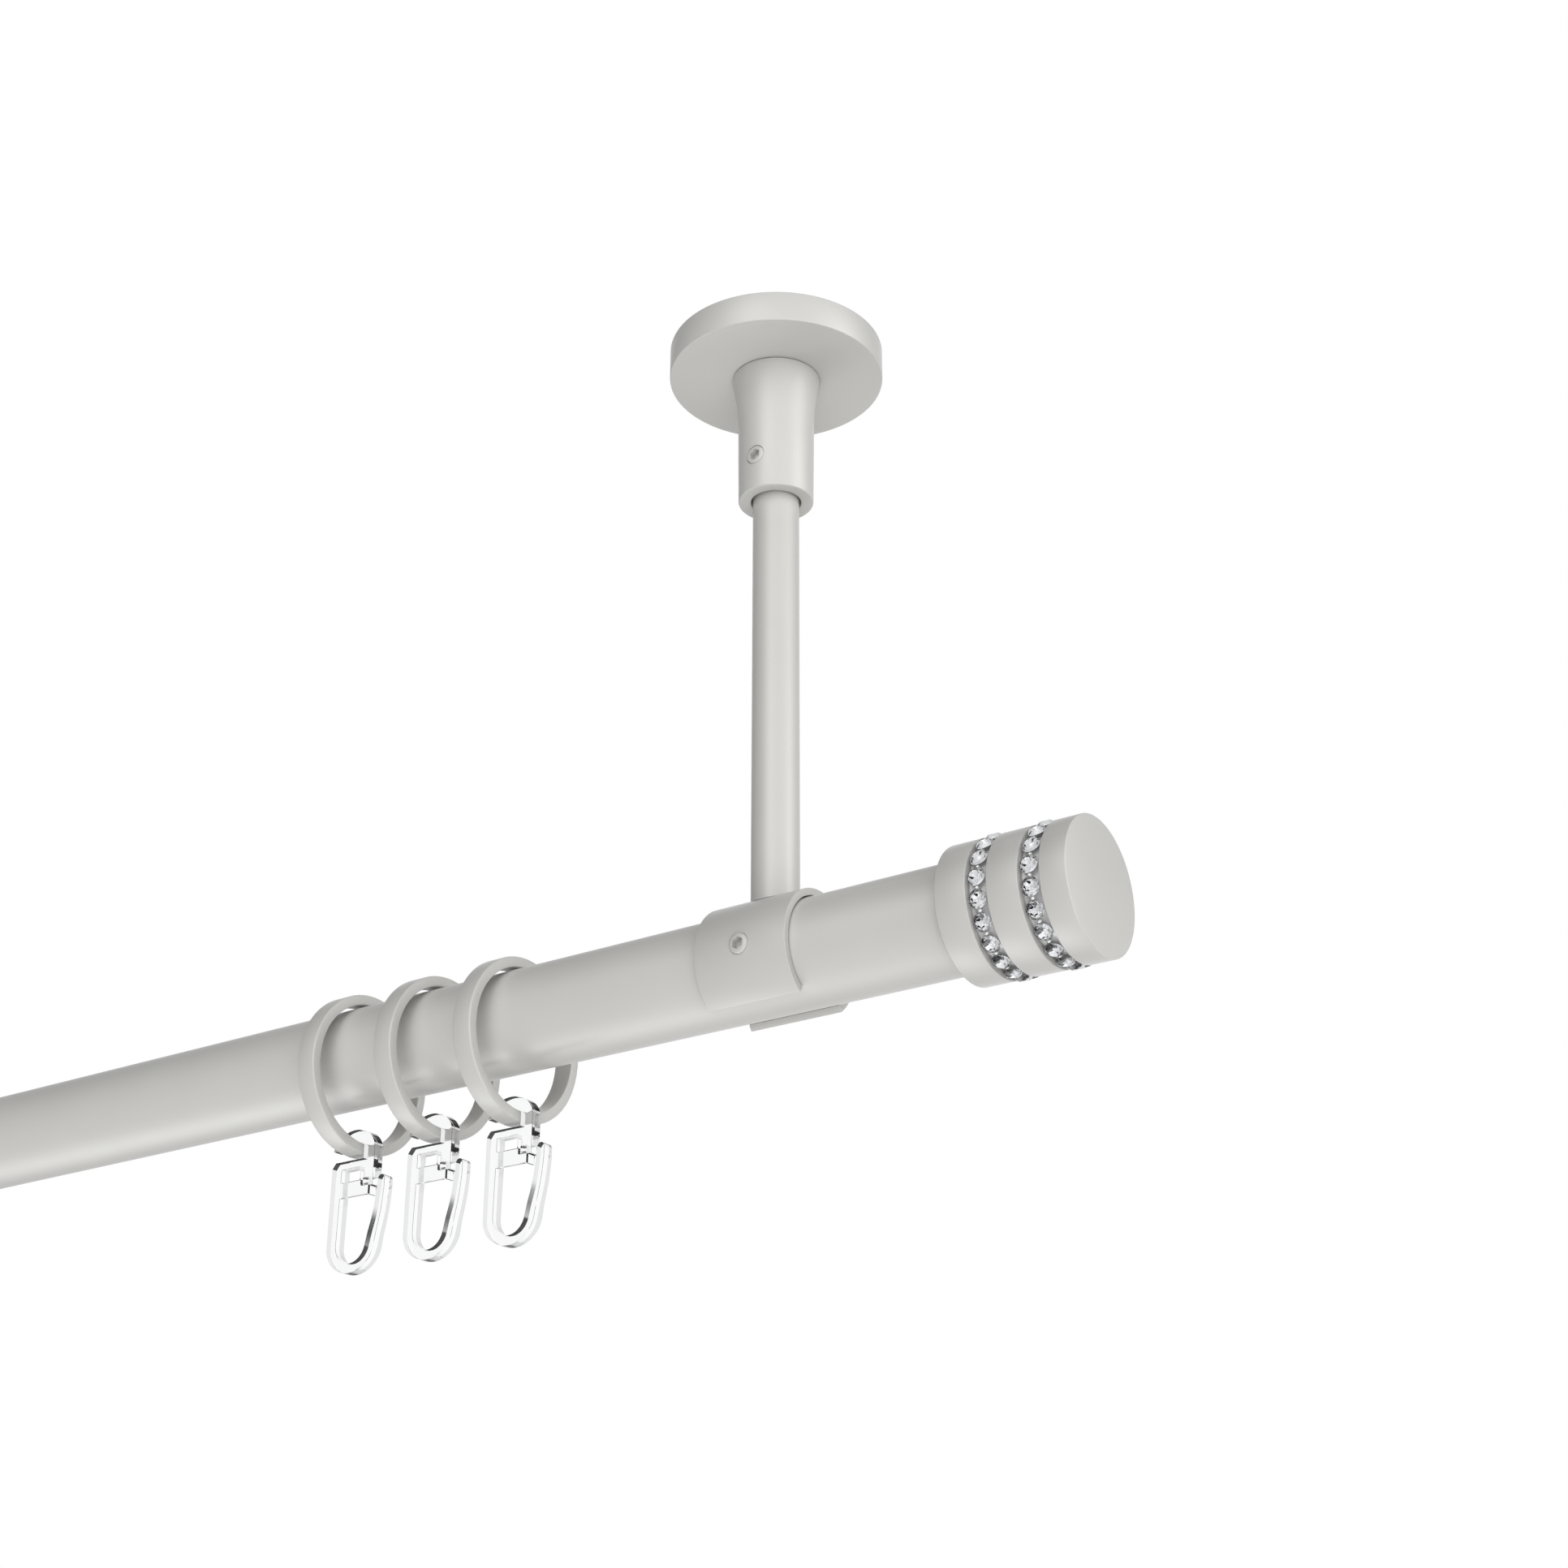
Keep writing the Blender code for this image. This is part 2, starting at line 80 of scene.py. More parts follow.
# %% [markdown]
# ## Small helpers
#
# Operators act on whatever is selected, so each piece starts with an empty selection. A turned piece is
# made as on a lathe drawing: a ring of points is extruded along the axis and resized at each step of the
# profile. The finished piece is turned onto its axis and its place is applied to the mesh, so its object
# stays at the origin.

# %% Helpers for selection and for finished meshes
TURNS = {"Z": (0, 0, 0), "X": (0, math.pi / 2, 0), "-Y": (math.pi / 2, 0, 0)}
WELD = 0.001 * MM
FINE_SIDES = 160
MEDIUM_SIDES = 128
BAR_SIDES = 96


def deselect():
    if bpy.context.mode != "OBJECT":
        bpy.ops.object.mode_set(mode="OBJECT")
    bpy.ops.object.select_all(action="DESELECT")


def activate(piece):
    deselect()
    piece.select_set(True)
    bpy.context.view_layer.objects.active = piece


def settle(piece):
    """Put a piece's place into its mesh."""
    activate(piece)
    bpy.ops.object.transform_apply(location=True, rotation=True, scale=True)


def apply_modifier(piece, modifier):
    activate(piece)
    bpy.ops.object.modifier_apply(modifier=modifier.name)


def smooth(piece, degrees=32):
    activate(piece)
    bpy.ops.object.shade_smooth_by_angle(angle=math.radians(degrees))


def soften(piece, width, segments=3, degrees=30):
    """Break the sharp edges, as paint and a file do on the real piece."""
    bevel = piece.modifiers.new("Edges", "BEVEL")
    bevel.width = width
    bevel.segments = segments
    bevel.limit_method = "ANGLE"
    bevel.angle_limit = math.radians(degrees)
    apply_modifier(piece, bevel)


def cut(piece, tool):
    boolean = piece.modifiers.new("Cut", "BOOLEAN")
    boolean.operation = "DIFFERENCE"
    boolean.object = tool
    boolean.solver = "EXACT"
    apply_modifier(piece, boolean)
    bpy.data.objects.remove(tool)


def drill(piece, radius, depth, location, axis="Z", sides=64):
    """Cut a round hole with a cylinder of this depth, whose middle is at the location."""
    deselect()
    bpy.ops.mesh.primitive_cylinder_add(
        vertices=sides, radius=radius, depth=depth, location=location, rotation=TURNS[axis]
    )
    cut(piece, bpy.context.object)


def select_open_edges():
    bpy.ops.mesh.select_all(action="DESELECT")
    bpy.ops.mesh.select_non_manifold(use_wire=False, use_multi_face=False, use_verts=False)


def face_outwards():
    """Point every normal out, then leave edit mode."""
    bpy.ops.mesh.select_all(action="SELECT")
    bpy.ops.mesh.normals_make_consistent(inside=False)
    bpy.ops.object.mode_set(mode="OBJECT")


def duplicate(piece):
    """A copy with its own mesh."""
    twin = piece.copy()
    twin.data = piece.data.copy()
    bpy.context.scene.collection.objects.link(twin)
    return twin


def join(pieces):
    """Join pieces into the first of them."""
    activate(pieces[0])
    for piece in pieces:
        piece.select_set(True)
    bpy.ops.object.join()
    return bpy.context.object


# %% The lathe
def turn(name, profile, sides=BAR_SIDES, closed=False):
    """Turn (radius, height) points about Z. A closed profile makes a ring; an open one is capped."""
    deselect()
    radius, height = profile[0]
    bpy.ops.mesh.primitive_circle_add(vertices=sides, radius=radius, location=(0, 0, height))
    piece = bpy.context.object
    piece.name = name
    bpy.ops.object.transform_apply(location=True, rotation=False, scale=False)
    bpy.ops.object.mode_set(mode="EDIT")
    bpy.ops.mesh.select_all(action="SELECT")
    for next_radius, next_height in profile[1:]:
        step = (0, 0, next_height - height)
        bpy.ops.mesh.extrude_region_move(TRANSFORM_OT_translate={"value": step})
        ratio = next_radius / radius
        centre = (0, 0, next_height)
        bpy.ops.transform.resize(value=(ratio, ratio, 1), center_override=centre)
        radius, height = next_radius, next_height
    select_open_edges()
    if closed:
        bpy.ops.mesh.bridge_edge_loops()
    else:
        bpy.ops.mesh.fill_holes(sides=0)
    face_outwards()
    return piece


def place(piece, location, axis="Z"):
    """Turn a piece from Z onto its axis, move it there and apply both."""
    piece.rotation_euler = TURNS[axis]
    piece.location = location
    settle(piece)


def copy_of(piece, name, shift=(0, 0, 0), mirror=False):
    """A copy with its own mesh, moved along or mirrored across the middle of the rod."""
    twin = duplicate(piece)
    twin.name = name
    if mirror:
        twin.scale.x = -1
    twin.location = shift
    settle(twin)
    if mirror:
        bpy.ops.object.mode_set(mode="EDIT")
        face_outwards()
    return twin


# %% [markdown]
# ## A notation for shaders
#
# Node trees read badly when every Math node takes four lines. A small class wraps a socket, so that a
# pattern is written as a sum or a product and each operator adds its node.

# %% The shader notation
class Socket:
    """A shader value in one node tree, with arithmetic that adds Math nodes."""

    def __init__(self, tree, link):
        self.tree = tree
        self.link = link

    def math(self, operation, *values):
        return node(self.tree, "ShaderNodeMath", {"operation": operation}, values)

    def __add__(self, other):
        return self.math("ADD", self, other)

    def __mul__(self, other):
        return self.math("MULTIPLY", self, other)

    def __sub__(self, other):
        return self.math("SUBTRACT", self, other)

    def __rsub__(self, other):
        return self.math("SUBTRACT", other, self)

    def exp(self):
        return self.math("EXPONENT", self)

    __radd__ = __add__
    __rmul__ = __mul__


def node(tree, kind, settings=None, inputs=(), output=0):
    """Add any node: its settings first, then the values or links of its sockets, by index or name."""
    made = tree.nodes.new(kind)
    for key, value in (settings or {}).items():
        setattr(made, key, value)
    pairs = inputs.items() if isinstance(inputs, dict) else enumerate(inputs)
    for key, value in pairs:
        if isinstance(value, Socket):
            tree.links.new(value.link, made.inputs[key])
        else:
            made.inputs[key].default_value = value
    return Socket(tree, made.outputs[output])


def new_material(name):
    material = bpy.data.materials.new(name)
    material.use_nodes = True
    return material, material.node_tree, material.node_tree.nodes["Principled BSDF"]


def object_place(tree):
    return node(tree, "ShaderNodeTexCoord", output="Object")


def noise(tree, where, scale, detail=3.0, roughness=0.55):
    inputs = {"Vector": where, "Scale": scale, "Detail": detail, "Roughness": roughness}
    return node(tree, "ShaderNodeTexNoise", inputs=inputs)


def feed(tree, value, shader, name):
    tree.links.new(value.link, shader.inputs[name])


def mix_colour(tree, amount, first, second):
    """Mix two colours; the colour sockets of a Mix node are numbers 6 and 7, its result is 2."""
    inputs = {0: amount, 6: first, 7: second}
    return node(tree, "ShaderNodeMix", {"data_type": "RGBA"}, inputs, output=2)


def bumps(tree, shader, height, strength, distance):
    inputs = {"Strength": strength, "Distance": distance, "Height": height}
    feed(tree, node(tree, "ShaderNodeBump", inputs=inputs), shader, "Normal")


# %% [markdown]
# ## Satin paint
#
# The tube, brackets, caps and rings wear one warm light grey powder coat. It has a soft sheen, a very fine
# orange peel, and a tone that drifts slightly with its thickness. A few specks under the coat and faint
# handling marks show only in the gloss.

# %% Satin paint
PAINT_THIN = (0.523, 0.519, 0.500, 1)
PAINT_THICK = (0.565, 0.560, 0.541, 1)
SPECK_TONE = (0.40, 0.40, 0.37, 1)
SPECK_REACH = 0.055      # of the distance between specks


def satin_paint():
    material, tree, shader = new_material("satin_paint")
    where = object_place(tree)
    drift = noise(tree, where, 45.0, 2.0)
    peel = noise(tree, where, 1900.0, 2.0, 0.4)
    grain = noise(tree, where, 5200.0, 1.0, 0.5)
    specks = node(
        tree, "ShaderNodeTexVoronoi", {"feature": "F1"}, {"Vector": where, "Scale": 260.0}
    )
    speck = node(tree, "ShaderNodeMapRange", inputs=(specks, 0.0, SPECK_REACH, 1.0, 0.0))
    tone = mix_colour(tree, drift, PAINT_THIN, PAINT_THICK)
    tone = mix_colour(tree, speck * 0.35, tone, SPECK_TONE)
    marking = {"Vector": where, "Scale": 120.0, "Detail": 6.0, "Distortion": 1.2}
    marks = node(tree, "ShaderNodeTexNoise", inputs=marking)
    feed(tree, tone, shader, "Base Color")
    feed(tree, 0.30 + 0.10 * marks + 0.05 * drift, shader, "Roughness")
    bumps(tree, shader, peel * 0.7 + grain * 0.3 - speck * 0.3, 0.10, 0.06 * MM)
    shader.inputs["IOR"].default_value = 1.50
    shader.inputs["Coat Weight"].default_value = 0.25
    shader.inputs["Coat Roughness"].default_value = 0.16
    return material


paint = satin_paint()
print("paint:", len(paint.node_tree.nodes), "nodes")

# %% [markdown]
# ## Hidden metal and rubber
#
# The plate, the stud and the saddle's screw are zinc plated. Zinc has a cloudy grain and faint turning
# marks. The grip rings on the spigots are matt black rubber, a little dusty.

# %% Zinc and rubber
def zinc_plate():
    material, tree, shader = new_material("zinc_plated_steel")
    where = object_place(tree)
    clouds = noise(tree, where, 240.0, 4.0)
    crystals = node(
        tree, "ShaderNodeTexVoronoi", {"feature": "F1"}, {"Vector": where, "Scale": 900.0}
    )
    tone = mix_colour(tree, clouds, (0.46, 0.47, 0.49, 1), (0.66, 0.67, 0.68, 1))
    feed(tree, tone, shader, "Base Color")
    feed(tree, 0.28 + 0.20 * clouds, shader, "Roughness")
    bumps(tree, shader, crystals, 0.2, 0.03 * MM)
    shader.inputs["Metallic"].default_value = 1.0
    return material


def black_rubber():
    material, tree, shader = new_material("black_rubber")
    where = object_place(tree)
    dust = noise(tree, where, 700.0, 5.0)
    tone = mix_colour(tree, dust, (0.012, 0.012, 0.012, 1), (0.050, 0.049, 0.047, 1))
    feed(tree, tone, shader, "Base Color")
    feed(tree, 0.62 + 0.25 * dust, shader, "Roughness")
    bumps(tree, shader, dust, 0.3, 0.04 * MM)
    return material


zinc = zinc_plate()
rubber = black_rubber()
print("hidden finishes:", zinc.name, rubber.name)

# %% [markdown]
# ## Cut stones and clear plastic
#
# A stone is cut crystal with a silvered back: light enters the crown, turns on the foil and leaves through
# another facet. So the crown faces are glass and the faces below the girdle are a mirror. The hooks are
# clear moulded plastic, polished by the mould and slightly wavy.

# %% Stone, foil and plastic
def cut_glass():
    material, tree, shader = new_material("cut_crystal")
    where = object_place(tree)
    wear = noise(tree, where, 1500.0, 3.0)
    tone = mix_colour(tree, wear, (0.96, 0.97, 0.98, 1), (1, 1, 1, 1))
    feed(tree, tone, shader, "Base Color")
    feed(tree, 0.03 * wear, shader, "Roughness")
    shader.inputs["Transmission Weight"].default_value = 1.0
    shader.inputs["IOR"].default_value = 1.62
    return material


def silver_foil():
    material, tree, shader = new_material("silver_foil")
    where = object_place(tree)
    cloud = noise(tree, where, 900.0, 3.0)
    tone = mix_colour(tree, cloud, (0.78, 0.79, 0.81, 1), (0.93, 0.93, 0.94, 1))
    feed(tree, tone, shader, "Base Color")
    feed(tree, 0.04 + 0.08 * cloud, shader, "Roughness")
    shader.inputs["Metallic"].default_value = 1.0
    return material


def moulded_plastic():
    material, tree, shader = new_material("clear_plastic")
    where = object_place(tree)
    flow = noise(tree, where, 260.0, 2.0)
    tone = mix_colour(tree, flow, (0.975, 0.985, 0.985, 1), (1, 1, 1, 1))
    feed(tree, tone, shader, "Base Color")
    feed(tree, 0.01 + 0.02 * flow, shader, "Roughness")
    bumps(tree, shader, flow, 0.08, 0.03 * MM)
    shader.inputs["Transmission Weight"].default_value = 1.0
    shader.inputs["IOR"].default_value = 1.49
    return material


def dull_silver(name, low, high, rough):
    """Worn silver between two greys, at least this rough."""
    material, tree, shader = new_material(name)
    where = object_place(tree)
    cloud = noise(tree, where, 700.0, 4.0)
    tone = mix_colour(tree, cloud, (low, low, low, 1), (high, high, high, 1))
    feed(tree, tone, shader, "Base Color")
    feed(tree, rough + 0.15 * cloud, shader, "Roughness")
    shader.inputs["Metallic"].default_value = 0.35
    return material


glass = cut_glass()
foil = silver_foil()
clear = moulded_plastic()
bead_silver = dull_silver("bead_silver", 0.74, 0.88, 0.12)
strip_silver = dull_silver("strip_silver", 0.62, 0.76, 0.34)
print("stones and hooks:", glass.name, foil.name, clear.name)

# %% [markdown]
# ## Finishing a piece
#
# Every new piece gets its material and the body it moves with, and the CAD node that it stands for is
# hidden. The pieces of the left bracket are copies of the right one's. The CAD nodes that stay get a
# material too.

# %% Finish
def finish(piece, material, body, cad_name):
    if material:
        piece.data.materials.clear()
        piece.data.materials.append(material)
    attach(piece, body)
    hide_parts(cad_name)


def finish_bracket_piece(piece, name, body, cad_name):
    """Finish a painted piece of the right bracket, and copy it to the left one."""
    left = copy_of(piece, "left_" + name, (-2 * bracket_x, 0, 0))
    for side, made in (("right", piece), ("left", left)):
        finish(made, paint, body, side + "_" + cad_name)


for name, piece in nodes.items():
    piece.data.materials.clear()
    hidden_metal = name.endswith(("plate", "stud", "saddle_screw"))
    piece.data.materials.append(zinc if hidden_metal else rubber if "grip" in name else paint)
print("CAD nodes with a material:", len(nodes))

# %% [markdown]
# ## The tube
#
# A plain tube is a ring profile drawn out along its length: outer wall, end, inner wall, end. The many
# sides keep its outline round close up, and the cut ends are slightly broken.

# %% Rod tube
TUBE_WALL = 1.0 * MM
TUBE_EDGE = 0.15 * MM
tube_bore = rod_radius - TUBE_WALL
tube_profile = [
    (rod_radius, -rod_half), (rod_radius, rod_half), (tube_bore, rod_half), (tube_bore, -rod_half),
]
tube = turn("rod", tube_profile, sides=FINE_SIDES, closed=True)
soften(tube, TUBE_EDGE)
place(tube, (0, 0, rod_axis), "X")
smooth(tube)
finish(tube, paint, "rod", "rod_tube")
print("rod faces:", len(tube.data.polygons))

# %% [markdown]
# ## Ceiling cover
#
# The cover is a shallow cup turned from one disc: a flat face towards the room, crisp edges with a hair of
# radius, and a hollow back that hides the plate.

# %% Ceiling cover
cover_radius = half("right_ceiling_cover").x
cover_height = 2 * half("right_ceiling_cover").z
COVER_FLOOR = 2.2 * MM
COVER_WALL = 2.4 * MM
STUD_HOLE = 3.2 * MM
COVER_EDGE = 0.17 * MM
cover_profile = [
    (cover_radius, 0), (cover_radius, -cover_height), (STUD_HOLE, -cover_height),
    (STUD_HOLE, COVER_FLOOR - cover_height), (cover_radius - COVER_WALL, COVER_FLOOR - cover_height),
    (cover_radius - COVER_WALL, 0),
]
cover = turn("right_cover", cover_profile, sides=FINE_SIDES, closed=True)
soften(cover, COVER_EDGE)
place(cover, (bracket_x, 0, 0))
smooth(cover)
finish_bracket_piece(cover, "cover", "ceiling_mounts", "ceiling_cover")
print("cover: %.1f mm across, %.1f mm high" % (2 * cover_radius / MM, cover_height / MM))

# %% [markdown]
# ## Stem socket
#
# The socket flares where it meets the cover and runs down as a slightly tapered sleeve. The flare is a
# soft concave curve, so the profile follows an exponential that dies away below the cover. The stem slides
# in the bore, and the set screw's hole is drilled through one wall.

# %% Stem socket
socket_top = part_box("right_stem_socket")[1].z
socket_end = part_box("right_stem_socket")[0].z
SLEEVE_RADIUS = 7.68 * MM
SLEEVE_TAPER = 0.30 * MM
FLARE = 1.15 * MM
FLARE_FADE = 4.6 * MM
FLARE_SHAPE = 1.6
FLARE_DEPTH = 14 * MM
STEM_BORE = 4.9 * MM
BORE_TOP = -16.5 * MM
STUD_END = -14.7 * MM
FLARE_STEPS = 14
SOCKET_EDGE = 0.28 * MM


def sleeve_radius(height):
    depth = socket_top - height
    taper = SLEEVE_TAPER * depth / (socket_top - socket_end)
    return SLEEVE_RADIUS - taper + FLARE * math.exp(-((depth / FLARE_FADE) ** FLARE_SHAPE))


heights = [socket_top - FLARE_DEPTH * i / FLARE_STEPS for i in range(FLARE_STEPS + 1)]
heights.append(socket_end)
socket_profile = [(STUD_HOLE, STUD_END), (STUD_HOLE, socket_top)]
socket_profile += [(sleeve_radius(height), height) for height in heights]
socket_profile += [(STEM_BORE, socket_end), (STEM_BORE, BORE_TOP)]
socket = turn("right_socket", socket_profile, sides=MEDIUM_SIDES)
soften(socket, SOCKET_EDGE)

SCREW_HOLE = 2.02 * MM
HOLE_DEPTH = 8 * MM
HOLE_MIDDLE = -6.5 * MM
screw_height = middle("right_socket_set_screw").z
drill(socket, SCREW_HOLE, HOLE_DEPTH, (0, HOLE_MIDDLE, screw_height), "-Y")
place(socket, (bracket_x, 0, 0))
smooth(socket)
finish_bracket_piece(socket, "socket", "ceiling_mounts", "stem_socket")
print("socket: %.1f mm long" % ((socket_top - socket_end) / MM))

# %% [markdown]
# ## Stem
#
# The stem is a round bar. Its foot is coped: a cutter the size of the saddle takes the end off, so the bar
# sits down on the curve with a thin line all round, and a tapped hole takes the saddle's screw.

# %% Stem
stem_radius = half("right_stem").x
stem_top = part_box("right_stem")[1].z
saddle_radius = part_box("right_rod_saddle")[1].z - rod_axis
COPE_GAP = 0.1 * MM
TAPPED_HOLE = 1.75 * MM
TAPPED_DEPTH = 11 * MM
COPE_LENGTH = 30 * MM
STEM_EDGE = 0.25 * MM
stem_profile = [(stem_radius, rod_axis + rod_radius), (stem_radius, stem_top)]
stem = turn("right_stem_bar", stem_profile)
soften(stem, STEM_EDGE)
drill(stem, saddle_radius + COPE_GAP, COPE_LENGTH, (0, 0, rod_axis), "X", sides=256)
tapped_middle = rod_axis + rod_radius + TAPPED_DEPTH / 2
drill(stem, TAPPED_HOLE, TAPPED_DEPTH, (0, 0, tapped_middle), sides=32)
place(stem, (bracket_x, 0, 0))
smooth(stem)
finish_bracket_piece(stem, "stem_bar", "hanger", "stem")
print("stem: %.1f mm across" % (2 * stem_radius / MM))

# %% [markdown]
# ## Saddle
#
# The saddle is a strip bent round the tube, open below. One end's flat section is a plane, and Spin carries
# it round the rod's axis to the other end. A drilled hole faces the room for the set screw, and a
# countersunk one at the top takes the screw that holds the stem.

# %% Saddle
saddle_half = half("right_rod_saddle").x
HALF_ARC = math.radians(145.5)
SADDLE_BORE = 10.3 * MM
SADDLE_EDGE = 0.09 * MM
SPIN_STEPS = 112
deselect()
wall_middle = (saddle_radius + SADDLE_BORE) / 2
bpy.ops.mesh.primitive_plane_add(size=2)
saddle = bpy.context.object
saddle.name = "right_saddle"
saddle.scale = (saddle_half, (saddle_radius - SADDLE_BORE) / 2, 1)
saddle.rotation_euler = (math.pi / 2 - HALF_ARC, 0, 0)
saddle.location = (0, wall_middle * math.sin(HALF_ARC), wall_middle * math.cos(HALF_ARC))
settle(saddle)
bpy.ops.object.mode_set(mode="EDIT")
bpy.ops.mesh.select_all(action="SELECT")
bpy.ops.mesh.spin(steps=SPIN_STEPS, angle=2 * HALF_ARC, center=(0, 0, 0), axis=(-1, 0, 0))
bpy.ops.mesh.select_all(action="SELECT")
bpy.ops.mesh.remove_doubles(threshold=WELD)
select_open_edges()
bpy.ops.mesh.fill_holes(sides=0)
face_outwards()
lowest = min(v.co.z for v in saddle.data.vertices)
widest = max(abs(v.co.y) for v in saddle.data.vertices)
print("saddle reaches %.2f mm down and %.2f mm out" % (lowest / MM, widest / MM))
soften(saddle, SADDLE_EDGE)
drill(saddle, SCREW_HOLE, rod_radius, (0, -saddle_radius, 0), "-Y")
SINK_RADIUS = 4.06 * MM
SINK_DEPTH = 2.3 * MM
SINK_RAISE = 0.15 * MM
deselect()
bpy.ops.mesh.primitive_cone_add(
    vertices=64, radius1=SINK_RADIUS, radius2=TAPPED_HOLE, depth=SINK_DEPTH,
    location=(0, 0, SADDLE_BORE + SINK_RAISE),
)
cut(saddle, bpy.context.object)
place(saddle, (bracket_x, 0, rod_axis))
smooth(saddle)
finish_bracket_piece(saddle, "saddle", "hanger", "rod_saddle")

# %% [markdown]
# ## Set screws
#
# A grub screw is a short cylinder with a rounded rim and a hexagonal socket. The thread is hidden in its
# hole. The hexagon is a six-sided cylinder cut into the face.

# %% Set screws
HEX_RADIUS = 1.22 * MM
HEX_DEPTH = 1.3 * MM
THREAD_RADIUS = 1.95 * MM
RIM = 0.35 * MM
RIM_ROUND = 0.12 * MM


def set_screw(node_name, name):
    length = 2 * half(node_name).y
    profile = [
        (THREAD_RADIUS - RIM, 0), (THREAD_RADIUS, RIM), (THREAD_RADIUS, length - RIM),
        (THREAD_RADIUS - RIM_ROUND, length - RIM_ROUND), (THREAD_RADIUS - RIM, length),
    ]
    screw = turn(name, profile, sides=48)
    drill(screw, HEX_RADIUS, 2 * HEX_DEPTH, (0, 0, length), sides=6)
    centre = middle(node_name)
    place(screw, (centre.x, centre.y + length / 2, centre.z), "-Y")
    smooth(screw, 38)
    finish(screw, paint, node_name, node_name)
    print("%s: %.1f mm long" % (name, length / MM))


for side in ("left", "right"):
    set_screw(side + "_socket_set_screw", side + "_socket_grub_screw")
    set_screw(side + "_saddle_set_screw", side + "_saddle_grub_screw")

# %% [markdown]
# ## Finial
#
# The cap is one turned piece. Its outside is three bands with two grooves between them, and behind it a
# spigot with two narrow grooves plugs into the tube.

# %% Finial body
CAP_RADIUS = 12.55 * MM
CAP_LENGTH = 25 * MM
BAND = 6 * MM
GROOVE = 4 * MM
GROOVE_FLOOR = 10.9 * MM
SPIGOT_RADIUS = 8.4 * MM
SPIGOT_LENGTH = 16 * MM
SPIGOT_GROOVE = 7.0 * MM
GRIP_PLACES = (5 * MM, 11 * MM)
GRIP_HALF = 0.95 * MM
CAP_EDGE = 0.16 * MM


def groove(start):
    """A groove's four corners, going up the cap."""
    end = start + GROOVE
    return [(CAP_RADIUS, start), (GROOVE_FLOOR, start), (GROOVE_FLOOR, end), (CAP_RADIUS, end)]


cap_profile = [(SPIGOT_RADIUS, -SPIGOT_LENGTH)]
for grip in reversed(GRIP_PLACES):
    cap_profile += [
        (SPIGOT_RADIUS, -grip - GRIP_HALF), (SPIGOT_GROOVE, -grip - GRIP_HALF),
        (SPIGOT_GROOVE, -grip + GRIP_HALF), (SPIGOT_RADIUS, -grip + GRIP_HALF),
    ]
cap_profile += [(SPIGOT_RADIUS, 0), (CAP_RADIUS, 0)]
cap_profile += groove(BAND) + groove(2 * BAND + GROOVE) + [(CAP_RADIUS, CAP_LENGTH)]
cap = turn("right_finial", cap_profile, sides=FINE_SIDES)
soften(cap, CAP_EDGE)
place(cap, (finial_back, 0, rod_axis), "X")
smooth(cap)
left_cap = copy_of(cap, "left_finial", mirror=True)
finish(cap, paint, "right_finial", "right_finial_body")
finish(left_cap, paint, "left_finial", "left_finial_body")
print("cap ends at %.1f mm" % ((finial_back + CAP_LENGTH) / MM))

# %% [markdown]
# ## One cut stone
#
# A round brilliant is a set of rings of corners: an eight-sided table, eight star corners, a sixteen-sided
# girdle, a ring below it and a point. Convex Hull stretches facets over them, which gives the kites and
# triangles of the real cut without drawing one by one.

# %% Stone
STONE_RADIUS = 1.70 * MM
CROWN = 0.74 * MM
PAVILION = 0.78 * MM
GIRDLE = 0.10 * MM
rings = [                # corners, radius, height, part of one corner's turn
    (8, 0.54 * STONE_RADIUS, CROWN, 0.0),
    (8, 0.83 * STONE_RADIUS, 0.58 * CROWN, 0.5),
    (16, STONE_RADIUS, GIRDLE / 2, 0.0),
    (16, STONE_RADIUS, -GIRDLE / 2, 0.0),
    (8, 0.52 * STONE_RADIUS, -0.62 * PAVILION, 0.5),
    (8, 0.10 * STONE_RADIUS, -PAVILION, 0.0),
]
deselect()
circles = []
for corners, radius, height, turned_by in rings:
    bpy.ops.mesh.primitive_circle_add(
        vertices=corners, radius=radius, location=(0, 0, height),
        rotation=(0, 0, turned_by * 2 * math.pi / corners),
    )
    circles.insert(0, bpy.context.object)
stone = join(circles)
stone.name = "stone"
settle(stone)
bpy.ops.object.mode_set(mode="EDIT")
bpy.ops.mesh.select_all(action="SELECT")
bpy.ops.mesh.convex_hull()
face_outwards()
stone.data.materials.append(glass)
stone.data.materials.append(foil)
for face in stone.data.polygons:
    face.material_index = 1 if face.center.z < -GIRDLE / 2 else 0
print("stone facets:", len(stone.data.polygons))

# %% [markdown]
# ## Rows of stones
#
# Nineteen stones stand round each groove on a cup strip, with a small bead between neighbours that holds
# them. Each stone is turned a little on its own axis, because a setter doesn't line them up.

# %% Rows
STONES = 19
FIRST_STONE = math.radians(7.0)
SEAT = 12.14 * MM
STRIP_BORE = 11.2 * MM
STRIP_RADIUS = 11.28 * MM
STRIP_HALF = 1.6 * MM
BEAD_RADIUS = 0.42 * MM
BEAD_SEAT = 11.85 * MM
TWIST = math.radians(37)


def ring_of(source, name, row_x, seat, first, twist):
    """Nineteen copies of one piece round the finial, joined into one row."""
    made = []
    for index in range(STONES):
        angle = first + 2 * math.pi * index / STONES
        outward = Vector((0, -math.sin(angle), math.cos(angle)))
        own_turn = Quaternion((0, 0, 1), twist * index)
        twin = duplicate(source)
        twin.rotation_mode = "QUATERNION"
        twin.rotation_quaternion = Quaternion((1, 0, 0), angle) @ own_turn
        twin.location = Vector((row_x, 0, rod_axis)) + seat * outward
        made.append(twin)
    row = join(made)
    row.name = name
    row.rotation_mode = "XYZ"
    settle(row)
    return row


